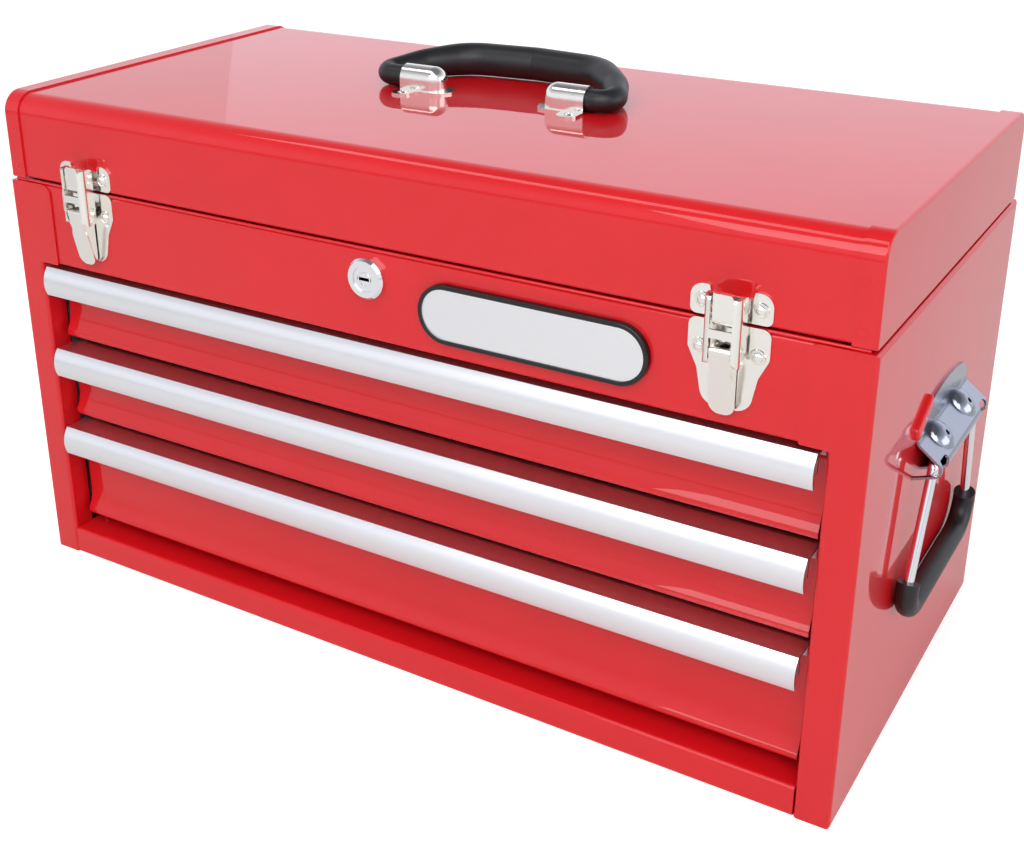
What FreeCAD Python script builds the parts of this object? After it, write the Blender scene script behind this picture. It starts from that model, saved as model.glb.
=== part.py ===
import FreeCAD, Part
import math
import os

os.makedirs("parts", exist_ok=True)

Vec = FreeCAD.Vector

# All sizes are in millimetres.
# Width runs along X, depth along Y with the front at -Y, height along Z.
# The origin is the middle of the cabinet's underside.

# Sheet steel and general clearances
sheet = 1.0
bend = 1.0
side_gap = 0.3
pin_gap = 0.05
overrun = 6.0
hair = 0.0001

# Cabinet
body_width = 510.0
body_depth = 250.0
stile_width = 18.0
stile_return = 14.0
flange_width = 31.0
flange_corner = 6.0
hem_width = 12.0
rail_height = 17.0
rail_shelf = 20.0
rail_gap = 7.3
low_front_height = 65.3
front_height = 48.0
drawer_gap = 4.2
head_gap = 2.0
panel_height = 48.0
well_depth = 44.0
well_flange = 14.0
floor_margin = 3.0
floor_corner = 16.0

# Slide posts and ball slides
post_depth = 14.8
post_width = 24.0
post_foot = 10.0
post_inset = 40.0
slide_length = 220.0
slide_height = 27.0
slide_thickness = 10.0
slide_mouth_depth = 7.5
slide_setback = 20.0
slide_rise = 6.5
slide_lip = 2.4
ball_diameter = 3.2
ball_pitch = 20.0
cage_sheet = 0.6
cage_length = 50.0
cage_setback = 1.5
cage_depth = 4.2
ball_inset = 2.0
runner_setback = 2.7
drawer_travel = 165.0

# Drawers
tray_sheet = 0.8
tray_rise = 3.0
tray_height = 38.0
low_tray_height = 55.0
tray_back_gap = 12.0
tray_hem = 5.0
front_side_gap = 3.4
face_setback = 13.5
flare_depth = 3.8
flare_rise = 9.4
flare_radius = 20.0
lip_height = 4.2
lip_return = 10.0

# Aluminium drawer pulls
pull_wall = 1.5
pull_edge_out = 0.5
pull_bulge_out = 4.3
pull_bulge_drop = 9.0
pull_skirt_out = 2.3
pull_skirt_drop = 17.1
pull_rib_setback = 0.5
pull_rib_drop = 10.5
pull_dish = 0.5
pull_lift = 0.6
pull_clip_drop = 6.3
pull_trim = 0.4
clip_gap = 0.1

# Lid
lid_gap = 2.0
lid_height = 48.0
lid_front_setback = 1.6
lid_back_setback = 3.4
lid_side_setback = 1.2
lid_corner = 11.0
lid_hem = 8.0
cap_flange = 10.0
cap_edge = 1.2

# Piano hinge
hinge_leaf = 1.2
hinge_width = 18.0
hinge_half_length = 228.0
hinge_pin_radius = 1.2
hinge_knuckle_radius = 2.3
hinge_knuckles = 9
hinge_knuckle_gap = 0.4
hinge_standoff = 1.4
hinge_rise = 1.0

# Side shift of what is fixed to the lid and upper panel from the cabinet's middle
fittings_shift = -2.3
saddle_shift = -3.4
handle_play = -2.3

# Draw latches
latch_inset = 63.0
latch_plate = 1.2
latch_half_width = 19.0
latch_top_drop = 1.6
latch_base_shoulder = 14.0
latch_base_waist_half = 14.3
latch_base_waist_drop = 22.0
latch_base_foot_half = 11.0
latch_base_foot_drop = 39.0
latch_corner = 4.0
waist_bend = 8.0
keeper_rise = 1.0
keeper_height = 14.2
keeper_dip = 3.6
keeper_dip_half = 9.6
keeper_dip_slope = 0.8
keeper_corner = 6.0
keeper_foot_corner = 3.0
hook_half_width = 4.6
hook_reach = 9.9
hook_height = 15.5
hook_bend = 2.6
hook_corner = 2.0
lever_half_width = 4.8
lever_wide_half = 6.0
lever_neck_drop = 8.6
lever_wide_drop = 11.4
lever_tip_corner = 5.0
lever_plate = 1.0
lever_pivot_out = 6.0
lever_pivot_drop = 10.6
lever_pivot_radius = 1.4
lever_top_out = 11.3
lever_top_rise = 3.7
lever_tip_out = 3.6
lever_tip_drop = 30.0
lever_foot_gap = 0.7
lever_heel = 4.0
lug_tip_radius = 2.4
bail_pin_back = 0.6
bail_pin_drop = 3.1
bail_pin_radius = 1.2
bail_pin_proud = 0.4
bail_leg_inside = 5.2
bail_leg_outside = 8.7
bail_leg_depth = 8.6
bail_front_out = 11.0
bail_foot_drop = 15.5
bail_top_rise = 16.5
bail_bend = 2.3
bail_foot_corner = 3.4
bail_heel_corner = 2.6
bail_top_corner = 2.4
bail_bridge_drop = 2.5
bail_bridge_height = 4.0
bail_bar_radius = 1.5
bail_bar_out = 4.8

# Cylinder lock
lock_drop = 14.0
lock_bezel_radius = 10.8
lock_bezel_height = 4.0
lock_bezel_bevel = 1.2
lock_barrel_radius = 9.5
lock_barrel_length = 12.0
lock_nut_across = 24.0
lock_nut_thickness = 3.0
lock_plug_radius = 6.6
lock_plug_recess = 0.6
keyway_length = 8.4
keyway_width = 1.7
keyway_depth = 9.0
cam_sheet = 2.0
cam_half_width = 4.5
cam_hub_radius = 7.5
cam_length = 25.0
cam_finger = 14.0
cam_finger_height = 5.5
catch_offset = 8.0
catch_sheet = 1.2
catch_drop = 1.0
catch_bar = 2.6
catch_window = 12.0
catch_side = 4.0
catch_window_depth = 6.0

# Blank name plate
badge_lock_gap = 18.2
badge_latch_gap = 20.0
badge_height = 31.0
badge_thickness = 3.5
badge_rim = 2.2
badge_inset = 0.6
badge_bevel = 0.8

# Top handle and its saddles
handle_axis_back = 2.0
handle_axis_rise = 6.8
handle_arm_radius = 6.0
handle_grip_radius = 9.4
handle_grip_rise = 9.9
handle_reach = 52.5
handle_span = 76.5
handle_curl_bend = 7.0
handle_waist = 62.5
handle_waist_back = 26.0
handle_waist_rise = 8.9
handle_waist_bend = 22.0
handle_shoulder = 42.0
handle_bow = 4.5
handle_shoulder_bend = 30.0
handle_end_gap = 0.5
handle_arm_length = 19.5
handle_rings = 41
arm_share = 0.03
grip_share = 0.6
saddle_wall = 1.2
saddle_mouth = 58.2
saddle_length = 26.0
saddle_toe = 5.0
saddle_foot_half = 9.2
saddle_ear_half = 19.0
saddle_ear_length = 11.0
saddle_corner = 4.5

# Side handles
bracket_sheet = 1.2
bracket_rise = 29.0
bracket_half_length = 44.0
bracket_top_half = 33.0
bracket_arch = 4.0
bracket_corner_bulge = 1.2
bracket_shoulder_rise = 15.0
bracket_slope_rise = 12.2
bracket_out = 13.6
bracket_nose_rise = 2.4
bracket_nose_drop = 3.1
bracket_root_drop = 7.6
bracket_valley_bend = 5.0
bracket_bend = 2.8
ring_radius = 2.5
ring_out = 7.9
ring_lean = 1.8
ring_height = 157.0
ring_top_half = 36.3
ring_low_half = 58.3
ring_drop = 76.0
ring_corner = 14.0
ring_elbow = 4.0
ring_slot_inner = 31.0
ring_slot_outer = 41.8
ring_slot_rise = 4.2
ring_slot_corner = 2.0
ring_end_gap = 12.0
grip_radius = 5.6
grip_leg_rise = 18.5

# Levels and planes that follow from the sizes above
half_width = body_width / 2
front = -body_depth / 2
back = body_depth / 2
lip_levels = [rail_height + rail_gap]
lip_levels.append(lip_levels[0] + low_front_height + drawer_gap)
lip_levels.append(lip_levels[1] + front_height + drawer_gap)
opening_top = lip_levels[2] + front_height + head_gap
body_height = opening_top + panel_height
opening_half = half_width - stile_width
wall_inside = half_width - sheet
post_face = wall_inside - post_depth
tray_half = post_face - slide_thickness
panel_front = front + sheet
lid_bottom = body_height + lid_gap
lid_top = lid_bottom + lid_height
lid_front = front + lid_front_setback
lid_back = back - lid_back_setback
cap_outside = half_width - lid_side_setback
cover_half = cap_outside - sheet
hinge_y = back - sheet + hinge_standoff + hinge_leaf / 2 + hinge_knuckle_radius / 2
hinge_z = body_height + hinge_rise
badge_start = lock_bezel_radius + badge_lock_gap
badge_end = half_width - latch_inset - latch_half_width - badge_latch_gap


def on_yz(x):
    return lambda u, v: Vec(x, u, v)


def on_xz(y):
    return lambda u, v: Vec(u, y, v)


def on_xy(z):
    return lambda u, v: Vec(u, v, z)


def block(x0, x1, y0, y1, z0, z1):
    return Part.makeBox(x1 - x0, y1 - y0, z1 - z0, Vec(x0, y0, z0))


def rod(start, end, radius):
    axis = end - start
    return Part.makeCylinder(radius, axis.Length, start, axis)


def rounded_corner(before, point, after, radius):
    # Both tangent points of the arc that rounds a corner, and the arc's middle
    toward_before = (before - point).normalize()
    toward_after = (after - point).normalize()
    half_angle = toward_before.getAngle(toward_after) / 2
    reach = radius / math.tan(half_angle)
    inward = (toward_before + toward_after).normalize()
    middle = point + inward * (radius / math.sin(half_angle) - radius)
    return point + toward_before * reach, middle, point + toward_after * reach


def path_edges(points, radii, closed):
    count = len(points)
    corners = []
    for i, point in enumerate(points):
        if radii[i] > 0:
            following = points[(i + 1) % count]
            corners.append(rounded_corner(points[i - 1], point, following, radii[i]))
        else:
            corners.append((point, None, point))
    edges = []
    for i, (start, middle, end) in enumerate(corners):
        if middle is not None:
            edges.append(Part.Arc(start, middle, end).toShape())
        if closed or i + 1 < count:
            next_start = corners[(i + 1) % count][0]
            if end.distanceToPoint(next_start) > hair:
                edges.append(Part.makeLine(end, next_start))
    return edges


def outline(points, radii, plane):
    # A flat face inside a closed outline whose corners are rounded by the radii
    if not isinstance(radii, list):
        radii = [radii] * len(points)
    placed = [plane(u, v) for u, v in points]
    return Part.Face(Part.Wire(path_edges(placed, radii, True)))


def folded(points, thickness, inside_radii, plane):
    # Section of a folded sheet: the points follow one face, the sheet lies to their left
    count = len(points)
    if not isinstance(inside_radii, list):
        inside_radii = [inside_radii] * (count - 2)
    normals = []
    for (u0, v0), (u1, v1) in zip(points, points[1:]):
        length = math.hypot(u1 - u0, v1 - v0)
        normals.append((-(v1 - v0) / length, (u1 - u0) / length))
    other_side = []
    near_radii = [0] * count
    far_radii = [0] * count
    for i, (u, v) in enumerate(points):
        before = normals[max(i - 1, 0)]
        after = normals[min(i, count - 2)]
        spread = 1 + before[0] * after[0] + before[1] * after[1]
        shift = thickness / spread
        other_side.append((u + (before[0] + after[0]) * shift, v + (before[1] + after[1]) * shift))
        if 0 < i < count - 1:
            turn = before[0] * after[1] - before[1] * after[0]
            inner = inside_radii[i - 1]
            near_radii[i] = inner + thickness if turn > 0 else inner
            far_radii[i] = inner if turn > 0 else inner + thickness
    ring = list(points) + other_side[::-1]
    return outline(ring, near_radii + far_radii[::-1], plane)


def traced(start, steps, plane):
    # A closed face from lines and three-point arcs: a step is an end point or (middle, end)
    edges = []
    here = start
    for step in steps:
        if isinstance(step[0], tuple):
            middle, end = step
            edges.append(Part.Arc(plane(*here), plane(*middle), plane(*end)).toShape())
        else:
            end = step
            edges.append(Part.makeLine(plane(*here), plane(*end)))
        here = end
    if here != start:
        edges.append(Part.makeLine(plane(*here), plane(*start)))
    return Part.Face(Part.Wire(edges))


def circle_through(a, b, c):
    # Centre and radius of the circle through three points of a plane
    d = 2 * (a[0] * (b[1] - c[1]) + b[0] * (c[1] - a[1]) + c[0] * (a[1] - b[1]))
    a2 = a[0] ** 2 + a[1] ** 2
    b2 = b[0] ** 2 + b[1] ** 2
    c2 = c[0] ** 2 + c[1] ** 2
    u = (a2 * (b[1] - c[1]) + b2 * (c[1] - a[1]) + c2 * (a[1] - b[1])) / d
    v = (a2 * (c[0] - b[0]) + b2 * (a[0] - c[0]) + c2 * (b[0] - a[0])) / d
    return (u, v), math.hypot(a[0] - u, a[1] - v)


def swept_rod(points, radii, radius):
    # A round rod along a path with rounded corners
    path = Part.Wire(path_edges(points, radii, False))
    ring = Part.Circle(points[0], points[1] - points[0], radius)
    return path.makePipeShell([Part.Wire(ring.toShape())], True, False)


def fused(first, *others):
    return first.fuse(list(others)).removeSplitter()


def mirrored(shape):
    return shape.mirror(Vec(0, 0, 0), Vec(1, 0, 0))


def moved(shape, x, y, z):
    copy = shape.copy()
    copy.translate(Vec(x, y, z))
    return copy


def edges_where(shape, test):
    return [edge for edge in shape.Edges if test(edge.BoundBox)]


def save(name, *shapes):
    shape = shapes[0] if len(shapes) == 1 else Part.makeCompound(list(shapes))
    shape.exportStep("parts/" + name + ".step")
    print(name, len(shape.Solids), "solids", round(shape.Volume), shape.isValid())


# Cabinet


def folded_box(x0, x1, y0, y1, z0, z1, rounded):
    # A box with rounded edges: those for which the test holds
    shape = block(x0, x1, y0, y1, z0, z1)
    radius, test = rounded
    return shape.makeFillet(radius, edges_where(shape, test))


def side_panel():
    # The side wall with its folds: stile and return at the front, hems at top, back and bottom
    inner_x = opening_half + sheet

    def outer_fold(box):
        outside_edge = box.XMin > half_width - hair
        return_edge = box.XMax < opening_half + hair and box.YMax < front + hair
        return outside_edge or return_edge

    def inner_fold(box):
        outside_edge = box.XMin > wall_inside - hair
        return_edge = box.XMax < inner_x + hair and box.YMax < front + sheet + hair
        return outside_edge or return_edge

    outer = folded_box(opening_half, half_width, front, back, 0, body_height, (bend + sheet, outer_fold))
    inner = folded_box(inner_x, wall_inside, front + sheet, back - sheet, sheet, body_height - sheet,
                       (bend, inner_fold))
    shell = outer.cut(inner)
    return_end = front + stile_return
    open_side = block(opening_half - overrun, inner_x, return_end, back - sheet, sheet, body_height - sheet)
    shell = shell.cut(open_side)
    head = block(opening_half - overrun, inner_x + bend, front + sheet, return_end + overrun,
                 opening_top, body_height - sheet)
    shell = shell.cut(head)
    hem_trim = block(opening_half - overrun, half_width - hem_width, front + sheet, back + overrun,
                     body_height - sheet - hair, body_height + overrun)
    shell = shell.cut(hem_trim)
    flange_left = half_width - flange_width
    flange_right = opening_half + stile_width / 2
    flange = outline([(flange_left, opening_top), (flange_right, opening_top),
                      (flange_right, body_height), (flange_left, body_height)],
                     [bend, 0, 0, flange_corner], on_xz(front))
    return fused(shell, flange.extrude(Vec(0, sheet, 0)))


def panel_half():
    # Panels between the side walls reach into their folds
    return wall_inside - bend - side_gap


def back_panel():
    y = back - sheet
    half = opening_half - side_gap
    section = folded([(y - hem_width, 0), (y, 0), (y, body_height), (y - hem_width, body_height)],
                     sheet, bend, on_yz(-half))
    middle = section.extrude(Vec(2 * half, 0, 0))
    reach = panel_half()
    low = 2 * sheet + side_gap
    high = body_height - 2 * sheet - side_gap
    wing = block(-reach, reach, y - sheet, y, low, high)
    return fused(middle, wing)


def floor_panel():
    # The floor lies on the bottom folds; its middle is pressed down level with them
    reach = panel_half()
    y0 = front + sheet + bend + side_gap
    y1 = back - 2 * sheet - bend - side_gap

    def field(inset):
        half = opening_half - floor_margin - inset
        f0 = front + hem_width + floor_margin + inset
        f1 = back - sheet - hem_width - floor_margin - inset
        return outline([(-half, f0), (half, f0), (half, f1), (-half, f1)], floor_corner - inset, on_xy(0))

    rim = block(-reach, reach, y0, y1, sheet, 2 * sheet)
    rim = rim.cut(field(sheet).extrude(Vec(0, 0, overrun)))
    floor = fused(rim, field(0).extrude(Vec(0, 0, sheet)).fuse(
        field(0).extrude(Vec(0, 0, 2 * sheet)).cut(field(sheet).extrude(Vec(0, 0, overrun)))))
    notch = block(opening_half - side_gap, reach + overrun, y0 - overrun, front + stile_return + side_gap,
                  -overrun, 2 * sheet + overrun)
    return floor.cut(notch).cut(mirrored(notch))


def bottom_rail():
    half = opening_half - side_gap
    section = folded([(front + rail_shelf, rail_height), (front, rail_height), (front, 0),
                      (front + hem_width, 0)], sheet, bend, on_yz(-half))
    return section.extrude(Vec(2 * half, 0, 0))


def upper_front_panel():
    half = opening_half - side_gap
    y = panel_front
    section = folded([(y + hem_width, body_height), (y, body_height), (y, opening_top),
                      (y + hem_width, opening_top)], sheet, bend, on_yz(-half))
    middle = section.extrude(Vec(2 * half, 0, 0))
    reach = panel_half()
    wing = block(-reach, reach, y, y + sheet, opening_top + bend + sheet, body_height - 2 * sheet - side_gap)
    hole = rod(lock_axis(y - overrun), lock_axis(y + overrun), lock_barrel_radius + clip_gap)
    return fused(middle, wing).cut(moved(hole, fittings_shift, 0, 0))


def tray(x_half, y0, y1, z0, height, wall, hem):
    # A folded tray with rounded edges and its upper rim turned in
    def low_or_upright(box, z_low):
        upright = box.ZMax - box.ZMin > height / 2
        low = box.ZMax < z_low + hair
        return upright or low

    outer = folded_box(-x_half, x_half, y0, y1, z0, z0 + height,
                       (bend + wall, lambda box: low_or_upright(box, z0)))
    floor_top = z0 + wall
    inner = folded_box(-x_half + wall, x_half - wall, y0 + wall, y1 - wall, floor_top, z0 + height + overrun,
                       (bend, lambda box: low_or_upright(box, floor_top)))
    shape = outer.cut(inner)
    if hem > 0:
        z_hem = z0 + height - hem
        rim = block(-x_half + wall, x_half - wall, y0 + wall, y1 - wall, z_hem, z0 + height)
        rim = rim.cut(block(-x_half + 2 * wall, x_half - 2 * wall, y0 + 2 * wall, y1 - 2 * wall,
                            z_hem - overrun, z0 + height + overrun))
        rim = rim.common(block(-x_half, x_half, y0 + bend + wall, y1 - bend - wall, z_hem, z0 + height)
                         .fuse(block(-x_half + bend + wall, x_half - bend - wall, y0, y1,
                                     z_hem, z0 + height)))
        shape = fused(shape, rim)
    return shape


def well_floor():
    # The tray that closes the top compartment from below
    y0 = panel_front + sheet + side_gap
    y1 = back - 2 * sheet - side_gap
    x_half = wall_inside - side_gap
    return tray(x_half, y0, y1, body_height - well_depth - sheet, well_flange, sheet, 0)


def slide_posts():
    # Hat-section uprights inside each side wall that carry the slides
    posts = []
    top = body_height - well_depth - sheet - side_gap
    for y in (front + post_inset, back - post_inset):
        half = post_width / 2
        foot = half + post_foot
        section = folded([(wall_inside - sheet, y + foot), (wall_inside - sheet, y + half),
                          (post_face, y + half), (post_face, y - half),
                          (wall_inside - sheet, y - half), (wall_inside - sheet, y - foot)],
                         sheet, bend, on_xy(2 * sheet))
        post = section.extrude(Vec(0, 0, top - 2 * sheet))
        posts += [post, mirrored(post)]
    return posts


# Ball slides


def slide_level(index):
    return lip_levels[index] + tray_rise + slide_rise + slide_height / 2


def slide_front():
    return front + slide_setback


def slide_channel(index):
    # The fixed outer member: a C with turned lips, open toward the drawer
    z = slide_level(index)
    half = slide_height / 2
    mouth = post_face - slide_mouth_depth
    section = folded([(mouth, z - half + slide_lip), (mouth, z - half), (post_face, z - half),
                      (post_face, z + half), (mouth, z + half), (mouth, z + half - slide_lip)],
                     sheet, bend, on_xz(slide_front()))
    channel = section.extrude(Vec(0, slide_length, 0))
    return [channel, mirrored(channel)]


def ball_line():
    # Height above the slide's middle at which the balls run
    return slide_height / 2 - sheet - pin_gap - ball_diameter / 2


def drawer_runner(index):
    # The member on the drawer: a smaller C that runs inside the balls
    z = slide_level(index)
    half = ball_line() - ball_diameter / 2 - pin_gap
    tip = post_face - runner_setback
    section = folded([(tip, z + half), (tray_half, z + half), (tray_half, z - half), (tip, z - half)],
                     sheet, bend, on_xz(slide_front()))
    runner = section.extrude(Vec(0, slide_length, 0))
    return [runner, mirrored(runner)]


def ball_cage(index):
    # The strip that keeps the balls apart, with its balls, on both sides
    z = slide_level(index)
    line = ball_line()
    outside = post_face - cage_setback
    tip = outside - cage_depth
    half = line + cage_sheet / 2
    y0 = slide_front() + drawer_travel / 2 + side_gap
    section = folded([(tip, z - half), (outside, z - half), (outside, z + half), (tip, z + half)],
                     cage_sheet, cage_sheet, on_xz(y0))
    cage = section.extrude(Vec(0, cage_length, 0))
    ball_x = tip + ball_inset
    balls = []
    for side in (-1, 1):
        for step in (-1, 1):
            centre = Vec(ball_x, y0 + cage_length / 2 + step * ball_pitch / 2, z + side * line)
            hole_foot = centre - Vec(0, 0, cage_sheet)
            cage = cage.cut(Part.makeCylinder(ball_diameter / 2 + pin_gap, 2 * cage_sheet, hole_foot))
            balls.append(Part.makeSphere(ball_diameter / 2, centre))
    pieces = [cage] + balls
    return pieces + [mirrored(piece) for piece in pieces]


# Drawers


def drawer_height(index):
    return low_front_height if index == 0 else front_height


def drawer_tray(index):
    height = low_tray_height if index == 0 else tray_height
    y0 = front + face_setback + sheet
    y1 = back - tray_back_gap
    return tray(tray_half, y0, y1, lip_levels[index] + tray_rise, height, tray_sheet, tray_hem)


def drawer_front(index):
    # The front sheet: upright face, concave flare, lip, and a return under the tray
    z = lip_levels[index]
    top = z + drawer_height(index) - pull_wall - clip_gap
    face = front + face_setback
    lip = face - flare_depth
    half = opening_half - front_side_gap
    section = folded([(lip + lip_return, z), (lip, z), (lip, z + lip_height),
                      (face, z + flare_rise), (face, top)][::-1],
                     sheet, [flare_radius, bend, bend], on_yz(-half))
    return section.extrude(Vec(2 * half, 0, 0))


def drawer_pull(index):
    # An extruded grip: dished thumb face, bowed skirt, inner rib, and a slot over the front sheet
    top = lip_levels[index] + drawer_height(index)
    half = opening_half - front_side_gap - pull_trim
    edge = (front - pull_edge_out, top)
    bulge = (front - pull_bulge_out, top - pull_bulge_drop)
    skirt = (front - pull_skirt_out, top - pull_skirt_drop)
    centre, radius = circle_through(edge, bulge, skirt)
    inner_share = (radius - pull_wall) / radius
    ceiling = top - pull_wall

    def inward(point):
        return (centre[0] + (point[0] - centre[0]) * inner_share,
                centre[1] + (point[1] - centre[1]) * inner_share)

    inner_rise = ceiling - centre[1]
    inner_end = (centre[0] - math.sqrt((radius - pull_wall) ** 2 - inner_rise ** 2), ceiling)
    rib = front + pull_rib_setback
    face = front + face_setback
    slot0 = face - clip_gap
    slot1 = face + sheet + clip_gap
    back_face = slot1 + pull_wall
    leg = top - pull_clip_drop
    thumb_middle = ((edge[0] + slot0) / 2, top - pull_dish)
    steps = [(bulge, skirt), inward(skirt), (inward(bulge), inner_end),
             (rib, ceiling), (rib, top - pull_rib_drop), (rib + pull_wall, top - pull_rib_drop),
             (rib + pull_wall, ceiling), (slot0 - pull_wall, ceiling), (slot0 - pull_wall, leg),
             (slot0, leg), (slot0, ceiling), (slot1, ceiling), (slot1, leg), (back_face, leg),
             (back_face, top + pull_lift), (slot0, top + pull_lift), (thumb_middle, edge)]
    return traced(edge, steps, on_yz(-half)).extrude(Vec(2 * half, 0, 0))


# Lid


def lid_cover():
    section = folded([(lid_front + lid_hem, lid_bottom), (lid_front, lid_bottom), (lid_front, lid_top),
                      (lid_back, lid_top), (lid_back, lid_bottom), (lid_back - lid_hem, lid_bottom)][::-1],
                     sheet, [bend, lid_corner - sheet, lid_corner - sheet, bend], on_yz(-cover_half))
    return section.extrude(Vec(2 * cover_half, 0, 0))


def lid_end_cap():
    # The end plate with a flange wrapped over the cover's front, top and back
    inside = cap_outside - cap_flange - sheet
    outer = outline([(lid_front - sheet, lid_bottom), (lid_front - sheet, lid_top + sheet),
                     (lid_back + sheet, lid_top + sheet), (lid_back + sheet, lid_bottom)],
                    [0, lid_corner + sheet, lid_corner + sheet, 0], on_yz(inside))
    inner = outline([(lid_front, lid_bottom - overrun), (lid_front, lid_top),
                     (lid_back, lid_top), (lid_back, lid_bottom - overrun)],
                    [0, lid_corner, lid_corner, 0], on_yz(inside - overrun))
    solid = outer.extrude(Vec(cap_outside - inside, 0, 0))

    def outside_edge(box):
        return box.XMin > cap_outside - hair and box.ZMax > lid_bottom + hair

    solid = solid.makeFillet(cap_edge, edges_where(solid, outside_edge))
    shell = solid.cut(inner.extrude(Vec(cover_half - inside + overrun, 0, 0)))
    hem = block(cover_half - lid_hem, cover_half + sheet / 2, lid_front + lid_hem + side_gap,
                lid_back - lid_hem - side_gap, lid_bottom, lid_bottom + sheet)
    return fused(shell, hem)


# Piano hinge


def knuckle_spans(parity):
    length = 2 * hinge_half_length / hinge_knuckles
    for i in range(hinge_knuckles):
        if i % 2 == parity:
            start = -hinge_half_length + i * length + hinge_knuckle_gap / 2
            yield start, start + length - hinge_knuckle_gap


def hinge_side(section, parity):
    # A leaf with a knuckle on every second share of its length
    leaf = None
    axis_y = hinge_y
    for start, end in knuckle_spans(parity):
        knuckle = rod(Vec(start, axis_y, hinge_z), Vec(end, axis_y, hinge_z), hinge_knuckle_radius)
        root = section(start).extrude(Vec(end - start, 0, 0))
        piece = knuckle.fuse(root)
        leaf = piece if leaf is None else leaf.fuse(piece)
    return leaf


def hinge_bore():
    reach = hinge_half_length + overrun
    return rod(Vec(-reach, hinge_y, hinge_z), Vec(reach, hinge_y, hinge_z), hinge_pin_radius + pin_gap)


def hinge_leaf_body():
    # The leaf on the back panel; its knuckles stand just behind the panel
    y = back - sheet
    top = body_height - side_gap
    plate = block(-hinge_half_length, hinge_half_length, y, y + hinge_leaf,
                  top - hinge_width, top - hinge_knuckle_radius)

    def root(x):
        return outline([(y, top - hinge_knuckle_radius - hinge_leaf),
                        (y + hinge_leaf, top - hinge_width / 2),
                        (hinge_y + hinge_knuckle_radius / 2, hinge_z - hinge_knuckle_radius / 2),
                        (hinge_y - hinge_knuckle_radius / 2, hinge_z - hinge_leaf), (y, top - hinge_leaf)],
                       0, on_yz(x))

    return fused(hinge_side(root, 0), plate).cut(hinge_bore())


def hinge_leaf_lid():
    # The leaf on the back of the lid, cranked out to the axis
    y = lid_back
    low = lid_bottom + side_gap
    plate = block(-hinge_half_length, hinge_half_length, y, y + hinge_leaf,
                  low + hinge_knuckle_radius, low + hinge_width)

    def root(x):
        return outline([(y, low + hinge_knuckle_radius + hinge_leaf), (y, low + hinge_leaf),
                        (hinge_y - hinge_knuckle_radius / 2, hinge_z + hinge_leaf / 2),
                        (hinge_y + hinge_knuckle_radius / 2, hinge_z + hinge_knuckle_radius / 2),
                        (y + hinge_leaf, low + hinge_width / 2)],
                       0, on_yz(x))

    return fused(hinge_side(root, 1), plate).cut(hinge_bore())


def hinge_pin():
    reach = hinge_half_length + hinge_knuckle_gap
    return rod(Vec(-reach, hinge_y, hinge_z), Vec(reach, hinge_y, hinge_z), hinge_pin_radius)


# Draw latches, made about their own middle


def latch_base_front():
    return panel_front - latch_plate


def lever_pivot():
    return Vec(0, front - lever_pivot_out, body_height - lever_pivot_drop)


def bail_pivot():
    return lever_pivot() + Vec(0, bail_pin_back, -bail_pin_drop)


def latch_base():
    # The shield-shaped plate on the cabinet with two lugs for the lever
    top = body_height + latch_top_drop
    shoulder = top - latch_base_shoulder
    waist = body_height - latch_base_waist_drop
    foot = body_height - latch_base_foot_drop
    right = [(latch_half_width, top), (latch_half_width, shoulder),
             (latch_base_waist_half, waist), (latch_base_foot_half, foot)]
    left = [(-u, v) for u, v in right[::-1]]
    radii = [latch_corner, latch_corner, waist_bend, waist_bend]
    shape = outline(right + left, radii + radii[::-1], on_xz(latch_base_front()))
    shape = shape.extrude(Vec(0, latch_plate, 0))
    pivot = lever_pivot()
    lug_outside = lever_half_width - lever_plate - side_gap
    for side in (-1, 1):
        x0 = min(side * lug_outside, side * (lug_outside - latch_plate))
        tip = Part.makeCylinder(lug_tip_radius, latch_plate, Vec(x0, pivot.y, pivot.z), Vec(1, 0, 0))
        root = block(x0, x0 + latch_plate, pivot.y, panel_front, pivot.z - lug_tip_radius,
                     pivot.z + lug_tip_radius)
        shape = shape.fuse([tip, root])
    bore = rod(pivot - Vec(lever_half_width, 0, 0), pivot + Vec(lever_half_width, 0, 0), lever_pivot_radius)
    return shape.removeSplitter().cut(bore)


def lever_pin():
    pivot = lever_pivot()
    reach = Vec(lever_half_width, 0, 0)
    return rod(pivot - reach, pivot + reach, lever_pivot_radius)


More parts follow.
